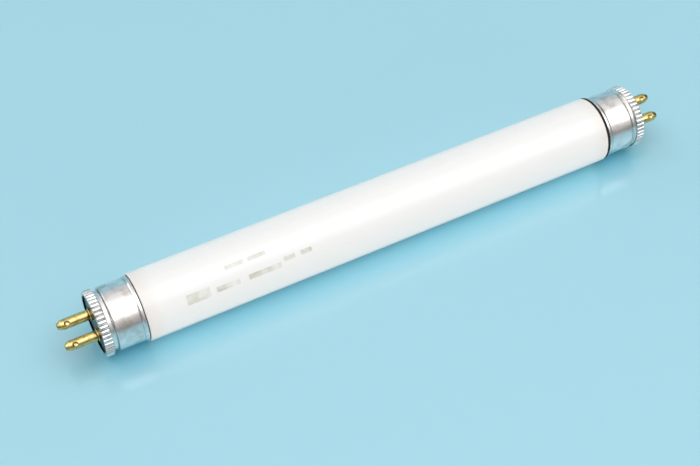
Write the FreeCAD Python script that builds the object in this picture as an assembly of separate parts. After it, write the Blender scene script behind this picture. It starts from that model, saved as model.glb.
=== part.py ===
import FreeCAD, Part
import math
import os

from FreeCAD import Vector

# Miniature fluorescent lamp with a two-pin cap at each end. Sizes are in millimetres.
# The lamp lies along X with its middle at the origin, and +Z is up.

# Whole lamp
face_to_face = 135.4        # from the end face of one cap to the end face of the other
glass_diameter = 15.5
pin_tilt = 28.5             # turn of the pin pair about the lamp's axis, in degrees from level

# Glass tube
glass_wall = 0.7
shoulder_round = 0.3        # where the tube turns in at the cap
seal_round = 1.2            # outer edge of the closed end
seal_thickness = 1.6        # closed end, where the stem is fused in
exhaust_diameter = 3.0      # pumping tube, melted shut at the right end
exhaust_length = 1.6
exhaust_round = 1.2
left_seat_gap = 0.15        # from the glass shoulder to the mouth of each cap
right_seat_gap = 0.55

# Cap, drawn from thin aluminium sheet
cap_length = 9.75
cap_sheet = 0.3
cap_step = 0.5              # the cap's shell lies this far below the glass surface
rim_width = 1.9
rim_rise = 0.2              # crests of the rim above the shell
rim_edge_round = 0.3
flute_count = 43
flute_depth = 0.35
lip_thickness = 0.35        # edge of the rim, curled in over the insulator
lip_overlap = 0.25          # how far that edge covers the insulator
lip_round = 0.12
groove_width = 1.3          # groove between the rim and the shell
groove_depth = 0.5          # below the shell
groove_ramp = 0.4           # slope from the bottom of the groove up to the shell
groove_round = 0.3          # inside corners of the groove
shell_round = 0.3           # edge where the shell starts
bead_width = 0.9            # bead around the mouth
bead_ramp = 0.3             # slope from the shell up to the bead
bead_rise = 0.2
bead_round = 0.4
mouth_round = 0.15

# Insulating disc
insulator_clearance = 0.05  # around the disc, in the rim
pin_hole_clearance = 0.03   # around the pin, in the disc

# Contact pins, hollow and crimped onto their wires
pin_diameter = 2.35
pin_length = 7.3            # beyond the end face
pin_spacing = 4.75          # between the two axes
pin_bore = 1.2
pin_end_wall = 0.9          # solid end of the pin
taper_length = 1.1          # nose of the pin
nose_diameter = 1.3
nose_round = 0.35
taper_round = 1.6           # soft start of the nose
collar_diameter = 2.8
collar_height = 0.55        # from the face of the disc
collar_round = 0.15
rivet_diameter = 3.2        # end of the pin, spread behind the disc
rivet_height = 0.4
dimple_diameter = 1.3
dimple_depth = 0.3
dimple_from_tip = 2.15
dimple_tilt = 38.5          # turn of the dimples about the pin's axis, in degrees from the top to the front
grip_diameter = 0.9         # bump that the punch raises inside the bore

# Lead wires and cement
wire_diameter = 0.5
wire_end_gap = 0.4          # from the end of the wire to the end of the bore
cement_thickness = 0.45     # between the glass neck and the cap
left_ring_recess = 0.4      # ring of cement pressed out at the mouth, below the glass surface
right_ring_recess = 0.1
end_room = 1.5              # from the closed end of the glass to the groove

# Radii and places that follow from the sizes above, for the right end
glass_radius = glass_diameter / 2
shell_radius = glass_radius - cap_step
shell_inside = shell_radius - cap_sheet
neck_radius = shell_inside - cement_thickness
rim_radius = shell_radius + rim_rise
groove_radius = shell_radius - groove_depth
channel_radius = rim_radius - flute_depth - cap_sheet
insulator_radius = channel_radius - insulator_clearance
lip_radius = insulator_radius - lip_overlap
bead_radius = shell_radius + bead_rise
pin_radius = pin_diameter / 2
bore_radius = pin_bore / 2
wire_radius = wire_diameter / 2

face_x = face_to_face / 2
insulator_front_x = face_x - lip_thickness
insulator_back_x = face_x - rim_width + cap_sheet
groove_x = face_x - rim_width
shell_x = groove_x - groove_width
mouth_x = face_x - cap_length
glass_end_x = shell_x - end_room
tip_x = face_x + pin_length
bore_end_x = tip_x - pin_end_wall

axis = Vector(1, 0, 0)
same_point = 1e-7
pair_angle = math.radians(pin_tilt)
dimple_angle = math.radians(dimple_tilt)
pair_direction = Vector(0, math.cos(pair_angle), math.sin(pair_angle))      # from the lower pin to the upper one
dimple_direction = Vector(0, -math.sin(dimple_angle), math.cos(dimple_angle))


def rounded_wire(corners):
    # Closed outline through corners (x, radius, rounding), with a tangent arc at each rounded corner.
    points = [Vector(x, 0, radius) for x, radius, rounding in corners]
    spans = []
    for number, (x, radius, rounding) in enumerate(corners):
        here = points[number]
        if rounding == 0:
            spans.append((here, None, here))
            continue
        back = (points[number - 1] - here).normalize()
        on = (points[(number + 1) % len(points)] - here).normalize()
        half_angle = back.getAngle(on) / 2
        run = rounding / math.tan(half_angle)
        middle = (back + on).normalize() * (rounding / math.sin(half_angle) - rounding)
        spans.append((here + back * run, here + middle, here + on * run))
    edges = []
    for number, (start, middle, end) in enumerate(spans):
        if middle is not None:
            edges.append(Part.Arc(start, middle, end).toShape())
        following = spans[(number + 1) % len(spans)][0]
        if not end.isEqual(following, same_point):
            edges.append(Part.LineSegment(end, following).toShape())
    return Part.Wire(edges)


def turned(corners):
    # Solid of revolution about X.
    return Part.Face(rounded_wire(corners)).revolve(Vector(), axis, 360)


def ring(start_x, end_x, inner_radius, outer_radius):
    corners = [(start_x, inner_radius), (start_x, outer_radius), (end_x, outer_radius), (end_x, inner_radius)]
    return turned([(x, radius, 0) for x, radius in corners])


def shoulder_x(seat_gap):
    return mouth_x - seat_gap


def glass_tube():
    left = -shoulder_x(left_seat_gap)
    right = shoulder_x(right_seat_gap)
    exhaust_radius = exhaust_diameter / 2
    outside = turned([
        (-glass_end_x, 0, 0),
        (-glass_end_x, neck_radius, seal_round),
        (left, neck_radius, 0),
        (left, glass_radius, shoulder_round),
        (right, glass_radius, shoulder_round),
        (right, neck_radius, 0),
        (glass_end_x, neck_radius, seal_round),
        (glass_end_x, exhaust_radius, 0),
        (glass_end_x + exhaust_length, exhaust_radius, exhaust_round),
        (glass_end_x + exhaust_length, 0, 0),
    ])
    hollow_end = glass_end_x - seal_thickness
    inside = turned([
        (-hollow_end, 0, 0),
        (-hollow_end, neck_radius - glass_wall, 0),
        (left + glass_wall, neck_radius - glass_wall, 0),
        (left + glass_wall, glass_radius - glass_wall, 0),
        (right - glass_wall, glass_radius - glass_wall, 0),
        (right - glass_wall, neck_radius - glass_wall, 0),
        (hollow_end, neck_radius - glass_wall, 0),
        (hollow_end, 0, 0),
    ])
    return outside.cut(inside)


def flute_cutter():
    # What the crimping tool presses away: the space outside a ring of rounded crests.
    valley_radius = rim_radius - flute_depth
    pitch = 2 * math.pi / flute_count

    def around(radius, angle):
        return Vector(groove_x, radius * math.cos(angle), radius * math.sin(angle))

    crests = []
    for number in range(flute_count):
        valley = number * pitch
        crest = Part.Arc(
            around(valley_radius, valley),
            around(rim_radius, valley + pitch / 2),
            around(valley_radius, valley + pitch),
        )
        crests.append(crest.toShape())
    outer = Part.Wire(Part.makeCircle(rim_radius + rim_width, Vector(groove_x, 0, 0), axis))
    outline = Part.Face(outer).cut(Part.Face(Part.Wire(crests)))
    return outline.extrude(axis * (2 * rim_width))


def cap():
    # The slope of the groove is as thick as the rest, so the inner face turns a little nearer the mouth.
    groove_slope = math.atan2(groove_depth, groove_ramp)
    inner_slope_x = shell_x - cap_sheet * math.tan(groove_slope / 2)
    sheet = turned([
        (face_x, lip_radius, lip_round),
        (face_x, rim_radius, rim_edge_round),
        (groove_x, rim_radius, rim_edge_round),
        (groove_x, groove_radius, groove_round),
        (shell_x + groove_ramp, groove_radius, groove_round),
        (shell_x, shell_radius, shell_round),
        (mouth_x + bead_width, shell_radius, bead_round),
        (mouth_x + bead_width - bead_ramp, bead_radius, bead_round),
        (mouth_x, bead_radius, mouth_round),
        (mouth_x, shell_inside, 0),
        (inner_slope_x, shell_inside, 0),
        (inner_slope_x + groove_ramp, groove_radius - cap_sheet, 0),
        (insulator_back_x, groove_radius - cap_sheet, 0),
        (insulator_back_x, channel_radius, 0),
        (insulator_front_x, channel_radius, 0),
        (insulator_front_x, lip_radius, 0),
    ])
    return sheet.cut(flute_cutter())


def insulator(pin_places):
    disc = ring(insulator_back_x, insulator_front_x, 0, insulator_radius)
    hole_radius = pin_radius + pin_hole_clearance
    thickness = insulator_front_x - insulator_back_x
    for place in pin_places:
        disc = disc.cut(Part.makeCylinder(hole_radius, thickness, place + axis * insulator_back_x, axis))
    return disc


def pin():
    # Built on X.
    collar_radius = collar_diameter / 2
    rivet_radius = rivet_diameter / 2
    rivet_x = insulator_back_x - rivet_height
    collar_x = insulator_front_x + collar_height
    body = turned([
        (rivet_x, bore_radius, 0),
        (rivet_x, rivet_radius, 0),
        (insulator_back_x, rivet_radius, 0),
        (insulator_back_x, pin_radius, 0),
        (insulator_front_x, pin_radius, 0),
        (insulator_front_x, collar_radius, 0),
        (collar_x, collar_radius, collar_round),
        (collar_x, pin_radius, 0),
        (tip_x - taper_length, pin_radius, taper_round),
        (tip_x, nose_diameter / 2, nose_round),
        (tip_x, 0, 0),
        (bore_end_x, 0, 0),
        (bore_end_x, bore_radius, 0),
    ])
    # The punch leaves a shallow bowl outside, and inside a bump that grips the wire. The bump starts halfway
    # through the wall under the bowl.
    punch_x = axis * (tip_x - dimple_from_tip)
    bowl_bottom = pin_radius - dimple_depth
    ball_radius = ((dimple_diameter / 2) ** 2 + dimple_depth ** 2) / (2 * dimple_depth)
    ball = Part.makeSphere(ball_radius, punch_x + dimple_direction * (bowl_bottom + ball_radius), axis)
    grip_top = (bore_radius + bowl_bottom) / 2
    grip_base = punch_x + dimple_direction * wire_radius
    grip = Part.makeCylinder(grip_diameter / 2, grip_top - wire_radius, grip_base, dimple_direction)
    return body.cut(ball).fuse(grip)


def wire():
    length = bore_end_x - wire_end_gap - glass_end_x
    return Part.makeCylinder(wire_radius, length, axis * glass_end_x, axis)


def cement(seat_gap, ring_recess):
    # Fills the cap around the neck, and comes out as a dark ring between the shoulder and the mouth.
    inside = ring(mouth_x, glass_end_x - seal_round, neck_radius, shell_inside)
    pressed_out = ring(shoulder_x(seat_gap), mouth_x, neck_radius, glass_radius - ring_recess)
    return inside.fuse(pressed_out).removeSplitter()


def export(name, shape):
    shape.exportStep("parts/" + name + ".step")


os.makedirs("parts", exist_ok=True)
export("glass_tube", glass_tube())

pin_places = {
    "upper": pair_direction * (pin_spacing / 2),
    "lower": pair_direction * (-pin_spacing / 2),
}
right_end = {
    "cap": cap(),
    "insulator": insulator(pin_places.values()),
}
for place_name, place in pin_places.items():
    right_end[place_name + "_pin"] = pin().translated(place)
    right_end[place_name + "_wire"] = wire().translated(place)

# The left end is the right one mirrored in the middle plane, apart from the wider seat at the right.
for name, shape in right_end.items():
    export("right_" + name, shape)
    export("left_" + name, shape.mirror(Vector(), axis))
export("right_cement", cement(right_seat_gap, right_ring_recess))
export("left_cement", cement(left_seat_gap, left_ring_recess).mirror(Vector(), axis))
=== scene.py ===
import math

import bpy
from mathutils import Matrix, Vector


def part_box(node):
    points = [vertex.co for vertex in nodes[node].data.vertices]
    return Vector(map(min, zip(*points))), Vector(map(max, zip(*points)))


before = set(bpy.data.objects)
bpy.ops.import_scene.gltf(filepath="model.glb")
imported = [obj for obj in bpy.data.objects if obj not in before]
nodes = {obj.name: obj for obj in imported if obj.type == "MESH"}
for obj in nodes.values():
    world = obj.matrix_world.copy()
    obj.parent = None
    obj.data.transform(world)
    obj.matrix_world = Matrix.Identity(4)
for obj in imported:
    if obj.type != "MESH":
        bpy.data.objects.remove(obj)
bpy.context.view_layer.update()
mm = 0.001

# sizes that the finishes follow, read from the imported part
glassLow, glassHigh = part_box("glass_tube")
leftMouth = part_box("left_cap")[1].x
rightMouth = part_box("right_cap")[0].x
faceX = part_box("right_cap")[1].x
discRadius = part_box("left_insulator")[1].z
glassRadius = glassHigh.z
floorLevel = glassLow.z
print("frame loaded:", len(nodes), "nodes")


def linear(hexColour):
    # sRGB hex to the linear values that shaders want
    shares = [int(hexColour[i:i + 2], 16) / 255 for i in (1, 3, 5)]
    return [s / 12.92 if s <= 0.04045 else ((s + 0.055) / 1.055) ** 2.4 for s in shares] + [1.0]


def addNode(tree, kind, settings=None, inputs=None, stops=None):
    made = tree.nodes.new("ShaderNode" + kind)
    for name, value in (settings or {}).items():
        setattr(made, name, value)
    for name, value in (inputs or {}).items():
        if isinstance(value, bpy.types.NodeSocket):
            tree.links.new(value, made.inputs[name])
        else:
            made.inputs[name].default_value = value
    for number, (place, hexColour) in enumerate(stops or []):
        ramp = made.color_ramp.elements
        stop = ramp[number] if number < 2 else ramp.new(place)      # a new ramp has two stops
        stop.position = place
        stop.color = linear(hexColour)
    return made


def newMaterial(name):
    made = bpy.data.materials.new(name)
    made.use_nodes = True
    return made, made.node_tree, made.node_tree.nodes["Principled BSDF"]


def dress(material, *names):
    for name in names:
        slots = nodes[name].data.materials
        slots.clear()
        slots.append(material)


# Soda-lime tube with a white powder coat inside: the coat gives an even milky white,
# the clear drawn glass over it gives a soft sheen and pale reflections along both edges.
tubeGlass = {
    "coat": "#F5F3F1",
    "coatByCaps": "#F0E9E3",      # electrodes darken the coat a little near the caps
    "warmReach": 5 * mm,
    "powderGrain": 0.9 * mm,
    "powderShare": 0.12,          # how much of the darker coat the grain brings in
    "drawWave": 18 * mm,
    "waveStrength": 0.05,
    "waveHeight": 0.3 * mm,
    "roughness": 0.14,
    "ior": 1.52,
    "secondSurface": 0.12,        # the inner face of the wall reflects too
    "secondRoughness": 0.16,
}

# Worn ink on the front of the tube: plain bars only, each (middle, half length) along the tube and
# (middle, half height) around it, measured up from the level of the axis.
tubeInk = {
    "colour": "#B5AD8E",
    "wear": 3 * mm,
    "wornAt": 0.3,                # noise below this leaves no ink
    "fullAt": 0.7,
    "share": 0.65,                # of the ink where it is whole
    "bars": [
        (-46.0 * mm, 2.7 * mm, 4.5 * mm, 1.15 * mm),
        (-39.2 * mm, 2.7 * mm, 4.3 * mm, 0.6 * mm),
        (-30.6 * mm, 3.8 * mm, 4.3 * mm, 0.6 * mm),
        (-24.6 * mm, 1.3 * mm, 5.2 * mm, 0.5 * mm),
        (-20.6 * mm, 1.3 * mm, 5.2 * mm, 0.5 * mm),
        (-36.6 * mm, 2.1 * mm, 8.1 * mm, 0.45 * mm),
        (-31.4 * mm, 2.1 * mm, 8.1 * mm, 0.45 * mm),
    ],
}


def addInk(tree, place, axes):
    front = addNode(tree, "Math", {"operation": "MULTIPLY"}, {0: axes["Y"], 1: -1}).outputs[0]
    angle = addNode(tree, "Math", {"operation": "ARCTAN2"}, {0: axes["Z"], 1: front}).outputs[0]
    around = addNode(tree, "Math", {"operation": "MULTIPLY"}, {0: angle, 1: glassRadius}).outputs[0]
    ink = None
    for middle, halfLength, height, halfHeight in tubeInk["bars"]:
        inLength = addNode(tree, "Math", {"operation": "COMPARE"}, {0: axes["X"], 1: middle, 2: halfLength})
        inHeight = addNode(tree, "Math", {"operation": "COMPARE"}, {0: around, 1: height, 2: halfHeight})
        bar = addNode(tree, "Math", {"operation": "MULTIPLY"},
                      {0: inLength.outputs[0], 1: inHeight.outputs[0]})
        if ink is not None:
            bar = addNode(tree, "Math", {"operation": "MAXIMUM"}, {0: ink, 1: bar.outputs[0]})
        ink = bar.outputs[0]
    wear = addNode(tree, "TexNoise", inputs={"Vector": place, "Scale": 1 / tubeInk["wear"], "Detail": 2})
    left = addNode(tree, "MapRange", {},
                   {"Value": wear.outputs["Fac"], "From Min": tubeInk["wornAt"],
                    "From Max": tubeInk["fullAt"], "To Max": tubeInk["share"]})
    return addNode(tree, "Math", {"operation": "MULTIPLY"}, {0: ink, 1: left.outputs[0]}).outputs[0]


def makeTubeGlass():
    made, tree, shader = newMaterial("Coated soda-lime glass")
    place = addNode(tree, "TexCoord").outputs["Object"]
    axes = addNode(tree, "SeparateXYZ", inputs={"Vector": place}).outputs
    middle = (leftMouth + rightMouth) / 2
    reach = (rightMouth - leftMouth) / 2
    fromMiddle = addNode(tree, "Math", {"operation": "SUBTRACT"}, {0: axes["X"], 1: middle}).outputs[0]
    along = addNode(tree, "Math", {"operation": "ABSOLUTE"}, {0: fromMiddle}).outputs[0]
    warm = addNode(tree, "MapRange", {"interpolation_type": "SMOOTHSTEP"},
                   {"Value": along, "From Min": reach - tubeGlass["warmReach"], "From Max": reach}).outputs[0]
    powder = addNode(tree, "TexNoise",
                     inputs={"Vector": place, "Scale": 1 / tubeGlass["powderGrain"], "Detail": 3})
    warmPatchy = addNode(tree, "Math", {"operation": "MULTIPLY_ADD", "use_clamp": True},
                         {0: powder.outputs["Fac"], 1: tubeGlass["powderShare"], 2: warm}).outputs[0]
    coat = addNode(tree, "Mix", {"data_type": "RGBA"},
                   {"Factor": warmPatchy, 6: linear(tubeGlass["coat"]), 7: linear(tubeGlass["coatByCaps"])})
    colour = addNode(tree, "Mix", {"data_type": "RGBA"},
                     {"Factor": addInk(tree, place, axes), 6: coat.outputs[2], 7: linear(tubeInk["colour"])})
    wave = addNode(tree, "TexNoise",
                   inputs={"Vector": place, "Scale": 1 / tubeGlass["drawWave"], "Detail": 1})
    bump = addNode(tree, "Bump", {},
                   {"Height": wave.outputs["Fac"], "Strength": tubeGlass["waveStrength"],
                    "Distance": tubeGlass["waveHeight"]})
    tree.links.new(colour.outputs[2], shader.inputs["Base Color"])
    tree.links.new(bump.outputs["Normal"], shader.inputs["Normal"])
    shader.inputs["Roughness"].default_value = tubeGlass["roughness"]
    shader.inputs["IOR"].default_value = tubeGlass["ior"]
    shader.inputs["Coat Weight"].default_value = tubeGlass["secondSurface"]
    shader.inputs["Coat Roughness"].default_value = tubeGlass["secondRoughness"]
    shader.inputs["Coat IOR"].default_value = tubeGlass["ior"]
    return made


# Bright drawn aluminium: mirror-like, softened by fine draw lines along the cap and dull patches of oxide,
# with brown dirt in the corners that a cloth doesn't reach; the same brown is also painted shade there and
# between the flutes.
capMetal = {
    "bright": "#EAEAEA",
    "dull": "#C4BDB6",
    "dullFrom": 0.45,             # noise at which the oxide starts, and at which it is whole
    "dullTo": 0.75,
    "recessShade": "#0D0C0C",         # painted shade: near black on the edge that closes over the disc, in place of the shadowed wall of the recess there
    "recessShadeReach": 0.12 * mm,
    # dirt and painted shade: a brown tone in the groove, at the foot of the bead and between the flutes, where
    # shade falls
    "dirtAndShade": "#4A403A",
    "dirtAndShadeRings": [                # distance from the end face, half width, and share of dirt and painted shade
        (2.95 * mm, 0.3 * mm, 0.75),      # foot of the groove's slope
        (8.8 * mm, 0.22 * mm, 0.45),      # foot of the bead
    ],
    "dirtAndShadeFrom": 0.35,             # noise at which the dirt and painted shade are thinnest, and at which they are whole
    "dirtAndShadeTo": 0.6,
    "dirtAndShadeLeast": 0.35,
    "flutes": 43,
    "fluteReach": 1.9 * mm,       # the rim, from the end face
    "fluteDirtAndShade": 0.55,            # share of dirt and painted shade between the flutes
    "valleyFrom": 0.5,            # where the dirt and painted shade start between the top of a flute and the next
    "patch": 2.2 * mm,
    "dentStrength": 0.25,
    "dentHeight": 0.06 * mm,
    "drawLine": 0.12 * mm,        # real lines are finer, drawn coarse enough to show
    "lineStretch": 0.06,          # squeeze of the noise along the cap, which draws it out into lines
    "lineStrength": 0.12,
    "lineHeight": 0.03 * mm,
    "roughFrom": 0.3,
    "roughTo": 0.75,
    "roughnessLow": 0.16,
    "roughnessHigh": 0.3,
}


# Dirt and painted shade: darkens the cap in the groove, at the foot of the bead and between the flutes.
def addDirtAndShade(tree, axes, radius, patches):
    along = addNode(tree, "Math", {"operation": "ABSOLUTE"}, {0: axes["X"]}).outputs[0]
    fromFace = addNode(tree, "Math", {"operation": "SUBTRACT"}, {0: faceX, 1: along}).outputs[0]
    around = addNode(tree, "Math", {"operation": "ARCTAN2"}, {0: axes["Z"], 1: axes["Y"]}).outputs[0]
    turns = addNode(tree, "Math", {"operation": "MULTIPLY"}, {0: around, 1: capMetal["flutes"]}).outputs[0]
    wave = addNode(tree, "Math", {"operation": "COSINE"}, {0: turns}).outputs[0]      # 1 between two flutes
    valley = addNode(tree, "MapRange", {"interpolation_type": "SMOOTHSTEP"},
                     {"Value": wave, "From Min": capMetal["valleyFrom"], "From Max": 1,
                      "To Max": capMetal["fluteDirtAndShade"]}).outputs[0]
    onRim = addNode(tree, "Math", {"operation": "LESS_THAN"},
                    {0: fromFace, 1: capMetal["fluteReach"]}).outputs[0]
    outside = addNode(tree, "Math", {"operation": "GREATER_THAN"}, {0: radius, 1: discRadius}).outputs[0]
    onFlutes = addNode(tree, "Math", {"operation": "MULTIPLY"}, {0: onRim, 1: outside}).outputs[0]
    dirtAndShade = addNode(tree, "Math", {"operation": "MULTIPLY"}, {0: onFlutes, 1: valley}).outputs[0]
    for place, halfWidth, share in capMetal["dirtAndShadeRings"]:
        offset = addNode(tree, "Math", {"operation": "SUBTRACT"}, {0: fromFace, 1: place}).outputs[0]
        away = addNode(tree, "Math", {"operation": "ABSOLUTE"}, {0: offset}).outputs[0]
        ring = addNode(tree, "MapRange", {"interpolation_type": "SMOOTHSTEP"},
                       {"Value": away, "From Min": halfWidth, "From Max": 0, "To Max": share}).outputs[0]
        dirtAndShade = addNode(tree, "Math", {"operation": "MAXIMUM"}, {0: dirtAndShade, 1: ring}).outputs[0]
    patchy = addNode(tree, "MapRange", {},
                     {"Value": patches, "From Min": capMetal["dirtAndShadeFrom"], "From Max": capMetal["dirtAndShadeTo"],
                      "To Min": capMetal["dirtAndShadeLeast"]})
    return addNode(tree, "Math", {"operation": "MULTIPLY"}, {0: dirtAndShade, 1: patchy.outputs[0]}).outputs[0]


def makeCapMetal():
    made, tree, shader = newMaterial("Bright drawn aluminium")
    place = addNode(tree, "TexCoord").outputs["Object"]
    axes = addNode(tree, "SeparateXYZ", inputs={"Vector": place}).outputs
    patches = addNode(tree, "TexNoise",
                      inputs={"Vector": place, "Scale": 1 / capMetal["patch"], "Detail": 4}).outputs["Fac"]
    stretched = addNode(tree, "Mapping", inputs={"Vector": place, "Scale": (capMetal["lineStretch"], 1, 1)})
    lines = addNode(tree, "TexNoise", inputs={"Vector": stretched.outputs[0], "Scale": 1 / capMetal["drawLine"],
                                              "Detail": 2})
    patchy = addNode(tree, "MapRange", {},
                     {"Value": patches, "From Min": capMetal["dullFrom"], "From Max": capMetal["dullTo"]})
    clean = addNode(tree, "Mix", {"data_type": "RGBA"},
                    {"Factor": patchy.outputs[0], 6: linear(capMetal["bright"]), 7: linear(capMetal["dull"])})
    across = addNode(tree, "VectorMath", {"operation": "MULTIPLY"}, {0: place, 1: (0, 1, 1)})
    radius = addNode(tree, "VectorMath", {"operation": "LENGTH"}, {0: across.outputs[0]}).outputs["Value"]
    # mixes in the dirt and painted shade
    dirtiedAndShaded = addNode(tree, "Mix", {"data_type": "RGBA"},
                    {"Factor": addDirtAndShade(tree, axes, radius, patches), 6: clean.outputs[2],
                     7: linear(capMetal["dirtAndShade"])})
    # painted shade: near black on the lip that closes over the disc, where the recess round the disc lies in
    # shadow
    inRecessShade = addNode(tree, "Math", {"operation": "LESS_THAN"},
                   {0: radius, 1: discRadius - capMetal["recessShadeReach"]})
    colour = addNode(tree, "Mix", {"data_type": "RGBA"},
                     {"Factor": inRecessShade.outputs[0], 6: dirtiedAndShaded.outputs[2], 7: linear(capMetal["recessShade"])})
    rough = addNode(tree, "MapRange", {},
                    {"Value": patches, "From Min": capMetal["roughFrom"], "From Max": capMetal["roughTo"],
                     "To Min": capMetal["roughnessLow"], "To Max": capMetal["roughnessHigh"]})
    dents = addNode(tree, "Bump", {},
                    {"Height": patches, "Strength": capMetal["dentStrength"],
                     "Distance": capMetal["dentHeight"]})
    bump = addNode(tree, "Bump", {},
                   {"Height": lines.outputs["Fac"], "Strength": capMetal["lineStrength"],
                    "Distance": capMetal["lineHeight"], "Normal": dents.outputs["Normal"]})
    tree.links.new(colour.outputs[2], shader.inputs["Base Color"])
    tree.links.new(rough.outputs[0], shader.inputs["Roughness"])
    tree.links.new(bump.outputs["Normal"], shader.inputs["Normal"])
    shader.inputs["Metallic"].default_value = 1
    return made


# Drawn brass: warm yellow, cream along the top, with brown tarnish in thin patches.
pinMetal = {
    "bright": "#D3BE80",
    "tarnish": "#6E5420",
    "tarnishFrom": 0.5,           # noise at which the tarnish starts, and at which it is whole
    "tarnishTo": 0.85,
    "patch": 0.8 * mm,
    "roughFrom": 0.3,
    "roughTo": 0.75,
    "roughnessLow": 0.08,
    "roughnessHigh": 0.2,
}


def makePinMetal():
    made, tree, shader = newMaterial("Drawn brass")
    place = addNode(tree, "TexCoord").outputs["Object"]
    patches = addNode(tree, "TexNoise",
                      inputs={"Vector": place, "Scale": 1 / pinMetal["patch"], "Detail": 4}).outputs["Fac"]
    patchy = addNode(tree, "MapRange", {},
                     {"Value": patches, "From Min": pinMetal["tarnishFrom"], "From Max": pinMetal["tarnishTo"]})
    colour = addNode(tree, "Mix", {"data_type": "RGBA"},
                     {"Factor": patchy.outputs[0], 6: linear(pinMetal["bright"]),
                      7: linear(pinMetal["tarnish"])})
    rough = addNode(tree, "MapRange", {},
                    {"Value": patches, "From Min": pinMetal["roughFrom"], "From Max": pinMetal["roughTo"],
                     "To Min": pinMetal["roughnessLow"], "To Max": pinMetal["roughnessHigh"]})
    tree.links.new(colour.outputs[2], shader.inputs["Base Color"])
    tree.links.new(rough.outputs[0], shader.inputs["Roughness"])
    shader.inputs["Metallic"].default_value = 1
    return made


# Pressed phenolic: almost black, with a slight gloss and a fine filler grain.
discPlastic = {
    "black": "#08080A",
    "grey": "#1B1C20",
    "grain": 0.35 * mm,
    "grainStrength": 0.15,
    "grainHeight": 0.05 * mm,
    "roughness": 0.3,
    "gloss": 0.3,
}


def makeDiscPlastic():
    made, tree, shader = newMaterial("Pressed phenolic")
    place = addNode(tree, "TexCoord").outputs["Object"]
    grain = addNode(tree, "TexNoise",
                    inputs={"Vector": place, "Scale": 1 / discPlastic["grain"], "Detail": 3}).outputs["Fac"]
    colour = addNode(tree, "Mix", {"data_type": "RGBA"},
                     {"Factor": grain, 6: linear(discPlastic["black"]), 7: linear(discPlastic["grey"])})
    bump = addNode(tree, "Bump", {},
                   {"Height": grain, "Strength": discPlastic["grainStrength"],
                    "Distance": discPlastic["grainHeight"]})
    tree.links.new(colour.outputs[2], shader.inputs["Base Color"])
    tree.links.new(bump.outputs["Normal"], shader.inputs["Normal"])
    shader.inputs["Roughness"].default_value = discPlastic["roughness"]
    shader.inputs["Specular IOR Level"].default_value = discPlastic["gloss"]
    return made


# Resin cement, matt and near black, seen as a thin ring at the mouth of each cap; the near black is partly the
# cement's own tone and partly painted shade of the gap there. Plain drawn wire inside the pins.
cement = {"light": "#1E1814", "dark": "#0A0807", "grain": 0.4 * mm, "metallic": 0, "roughness": 0.85}
leadWire = {"light": "#A9A49B", "dark": "#7D7870", "grain": 0.2 * mm, "metallic": 1, "roughness": 0.35}


def makeGrainy(name, grainy):
    made, tree, shader = newMaterial(name)
    place = addNode(tree, "TexCoord").outputs["Object"]
    noise = addNode(tree, "TexNoise", inputs={"Vector": place, "Scale": 1 / grainy["grain"], "Detail": 3})
    colour = addNode(tree, "Mix", {"data_type": "RGBA"},
                     {"Factor": noise.outputs["Fac"], 6: linear(grainy["dark"]), 7: linear(grainy["light"])})
    tree.links.new(colour.outputs[2], shader.inputs["Base Color"])
    shader.inputs["Metallic"].default_value = grainy["metallic"]
    shader.inputs["Roughness"].default_value = grainy["roughness"]
    return made


dress(makeTubeGlass(), "glass_tube")
dress(makeCapMetal(), "left_cap", "right_cap")
dress(makeDiscPlastic(), "left_insulator", "right_insulator")
dress(makePinMetal(), *[name for name in nodes if name.endswith("_pin")])
# the cement's near black is partly painted shade of the gap at each cap's mouth
dress(makeGrainy("Near-black cement and painted gap shade", cement), "left_cement", "right_cement")
dress(makeGrainy("Drawn lead wire", leadWire), *[name for name in nodes if name.endswith("_wire")])
print("finishes done")


# Stage: a pale blue sheet that lies flat under the lamp and curves up far behind it.
sheet = {
    "colour": "#A2D5E4",
    "paintedShade": "#7CE2FF",           # painted shade: a clearer blue painted where the lamp covers the sheet, in place of the light that goes to and fro there
    "paintedShadeReach": 6.5 * mm,
    "bounce": "#F0F5F6",          # paler in the light it throws back, as a pale table in a white room
    "halfWidth": 1.2,
    "front": -1.2,
    "bendStart": 0.35,
    "bendRadius": 0.25,
    "rise": 0.05,
    "bendSteps": 24,
    "roughness": 0.16,
    "gloss": 0.9,
}


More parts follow.
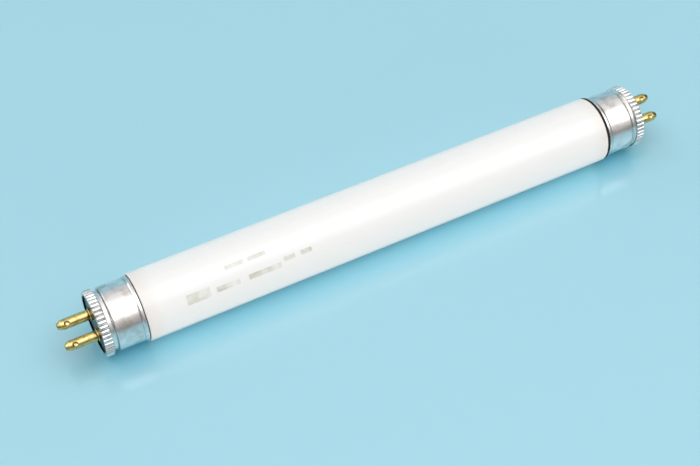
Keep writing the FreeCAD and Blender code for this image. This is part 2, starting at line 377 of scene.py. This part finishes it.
def makeSheet():
    profile = [(sheet["front"], floorLevel), (sheet["bendStart"], floorLevel)]
    for step in range(1, sheet["bendSteps"] + 1):
        angle = math.pi / 2 * step / sheet["bendSteps"]
        profile.append((sheet["bendStart"] + sheet["bendRadius"] * math.sin(angle),
                        floorLevel + sheet["bendRadius"] * (1 - math.cos(angle))))
    lastY, lastZ = profile[-1]
    profile.append((lastY, lastZ + sheet["rise"]))
    points = [(side * sheet["halfWidth"], y, z) for y, z in profile for side in (-1, 1)]
    faces = [(2 * i, 2 * i + 1, 2 * i + 3, 2 * i + 2) for i in range(len(profile) - 1)]
    mesh = bpy.data.meshes.new("floor")
    mesh.from_pydata(points, [], faces)
    mesh.shade_smooth()
    made = bpy.data.objects.new("floor", mesh)
    bpy.context.scene.collection.objects.link(made)
    material, tree, shader = newMaterial("Pale blue sheet")
    # painted shade: the sheet turns a clearer blue close under the lamp, by ambient occlusion
    covered = addNode(tree, "AmbientOcclusion", {"samples": 8}, {"Distance": sheet["paintedShadeReach"]})
    seen = addNode(tree, "Mix", {"data_type": "RGBA"},
                   {"Factor": covered.outputs["AO"], 6: linear(sheet["paintedShade"]), 7: linear(sheet["colour"])})
    path = addNode(tree, "LightPath").outputs
    mirrored = addNode(tree, "Math", {},
                       {0: path["Is Glossy Ray"], 1: path["Is Transmission Ray"]}).outputs[0]
    viewed = addNode(tree, "Math", {"use_clamp": True}, {0: path["Is Camera Ray"], 1: mirrored}).outputs[0]
    colour = addNode(tree, "Mix", {"data_type": "RGBA"},
                     {"Factor": viewed, 6: linear(sheet["bounce"]), 7: seen.outputs[2]})
    tree.links.new(colour.outputs[2], shader.inputs["Base Color"])
    shader.inputs["Roughness"].default_value = sheet["roughness"]
    shader.inputs["Specular IOR Level"].default_value = sheet["gloss"]
    mesh.materials.append(material)
    return made


makeSheet()


# Lights: one broad softbox overhead, a low fill from the camera's side, a panel behind on the left that edges
# the beads, and a room whose reflection is brightest overhead, dim in front and pale blue behind.
softbox = {"radiance": 1.29, "place": (0.1, -0.11, 0.62), "size": (1.3, 0.8), "aim": (0.1, -0.11, 0), "yaw": -12}
frontFill = {"radiance": 1.9, "place": (-0.15, -1.0, 0.18), "size": (1.4, 0.32), "aim": (0, 0, 0), "yaw": 0}
backPanel = {"radiance": 1.6, "place": (-0.75, 0.75, 0.5), "size": (0.7, 0.5), "aim": (0, 0, 0), "yaw": 0}
room = {
    "turn": 20,                   # of the bright band overhead, in degrees
    "shown": [                    # by degrees up from the front horizon, over the top and down behind
        (0, "#585452"),           # dim room in front
        (40, "#A09C98"),
        (54, "#FFFFFF"),          # softbox
        (90, "#FFFFFF"),
        (105, "#B8B6B4"),         # grey ceiling and wall
        (140, "#909090"),
        (180, "#6C8894"),         # backdrop
    ],
    "shownStrength": 2.4,
    "endsFrom": 0.55,             # towards the two ends of the lamp the reflected room gets darker
    "endsTo": 0.9,
    "endsLeft": 0.3,
    "behindAll": "#C9E6F0",
    "light": "#EBF2F4",
    "lightStrength": 0.44,
}


def addPanel(name, panel):
    lamp = bpy.data.lights.new(name, "AREA")
    lamp.shape = "RECTANGLE"
    lamp.size, lamp.size_y = panel["size"]
    lamp.energy = panel["radiance"] * math.pi * panel["size"][0] * panel["size"][1]
    made = bpy.data.objects.new(name, lamp)
    made.location = panel["place"]
    made.rotation_euler = (Vector(panel["aim"]) - made.location).to_track_quat("-Z", "Y").to_euler()
    made.rotation_euler.z += math.radians(panel["yaw"])
    made.visible_camera = False
    bpy.context.scene.collection.objects.link(made)
    return made


def makeRoom():
    world = bpy.data.worlds.new("room")
    world.use_nodes = True
    tree = world.node_tree
    tree.nodes.clear()
    path = addNode(tree, "LightPath").outputs
    mirrored = addNode(tree, "Math", {"operation": "MAXIMUM"},
                       {0: path["Is Glossy Ray"], 1: path["Is Transmission Ray"]}).outputs[0]
    direction = addNode(tree, "TexCoord").outputs["Generated"]
    axes = addNode(tree, "SeparateXYZ", {}, {0: direction}).outputs
    turn = math.radians(room["turn"])
    toFront = addNode(tree, "VectorMath", {"operation": "DOT_PRODUCT"},
                      {0: direction, 1: (-math.sin(turn), -math.cos(turn), 0)}).outputs["Value"]
    angle = addNode(tree, "Math", {"operation": "ARCTAN2"}, {0: axes["Z"], 1: toFront}).outputs[0]
    share = addNode(tree, "Math", {"operation": "DIVIDE"}, {0: angle, 1: math.pi}).outputs[0]
    stops = [(degrees / 180, tone) for degrees, tone in room["shown"]]
    shown = addNode(tree, "ValToRGB", {}, {0: share}, stops)
    toEnds = addNode(tree, "Math", {"operation": "ABSOLUTE"}, {0: axes["X"]}).outputs[0]
    strength = addNode(tree, "MapRange", {"interpolation_type": "SMOOTHSTEP"},
                       {"Value": toEnds, "From Min": room["endsFrom"], "From Max": room["endsTo"],
                        "To Min": room["shownStrength"], "To Max": room["shownStrength"] * room["endsLeft"]})
    lit = addNode(tree, "Background", {}, {"Color": linear(room["light"]), "Strength": room["lightStrength"]})
    glossy = addNode(tree, "Background", {}, {"Color": shown.outputs[0], "Strength": strength.outputs[0]})
    behind = addNode(tree, "Background", {}, {"Color": linear(room["behindAll"]), "Strength": 1})
    first = addNode(tree, "MixShader", {}, {0: mirrored, 1: lit.outputs[0], 2: glossy.outputs[0]})
    second = addNode(tree, "MixShader", {},
                     {0: path["Is Camera Ray"], 1: first.outputs[0], 2: behind.outputs[0]})
    addNode(tree, "OutputWorld", {}, {"Surface": second.outputs[0]})
    bpy.context.scene.world = world


for name, panel in {"softbox": softbox, "frontFill": frontFill}.items():
    addPanel(name, panel).visible_glossy = False      # mirrored surfaces see the room instead
addPanel("backPanel", backPanel)
makeRoom()
print("stage and lights done")


# Camera: the photo's angle, fitted to the ends of the tube and the rims of the caps.
lens = {"focalMm": 71.54, "sensorMm": 36, "azimuth": -27.42, "elevation": 49.65,
        "distance": 0.31347, "right": -0.00606, "up": -0.00445, "nearest": 0.01}


def makeCamera():
    data = bpy.data.cameras.new("camera")
    data.lens = lens["focalMm"]
    data.sensor_width = lens["sensorMm"]
    data.clip_start = lens["nearest"]
    made = bpy.data.objects.new("camera", data)
    turn, lift = math.radians(lens["azimuth"]), math.radians(lens["elevation"])
    back = Vector((math.sin(turn) * math.cos(lift), -math.cos(turn) * math.cos(lift), math.sin(lift)))
    right = Vector((math.cos(turn), math.sin(turn), 0))
    up = back.cross(right)
    made.location = back * lens["distance"] + right * lens["right"] + up * lens["up"]
    made.rotation_euler = (-back).to_track_quat("-Z", "Y").to_euler()
    bpy.context.scene.collection.objects.link(made)
    bpy.context.scene.camera = made


makeCamera()
bpy.context.scene.view_settings.view_transform = "Standard"

print("camera done")
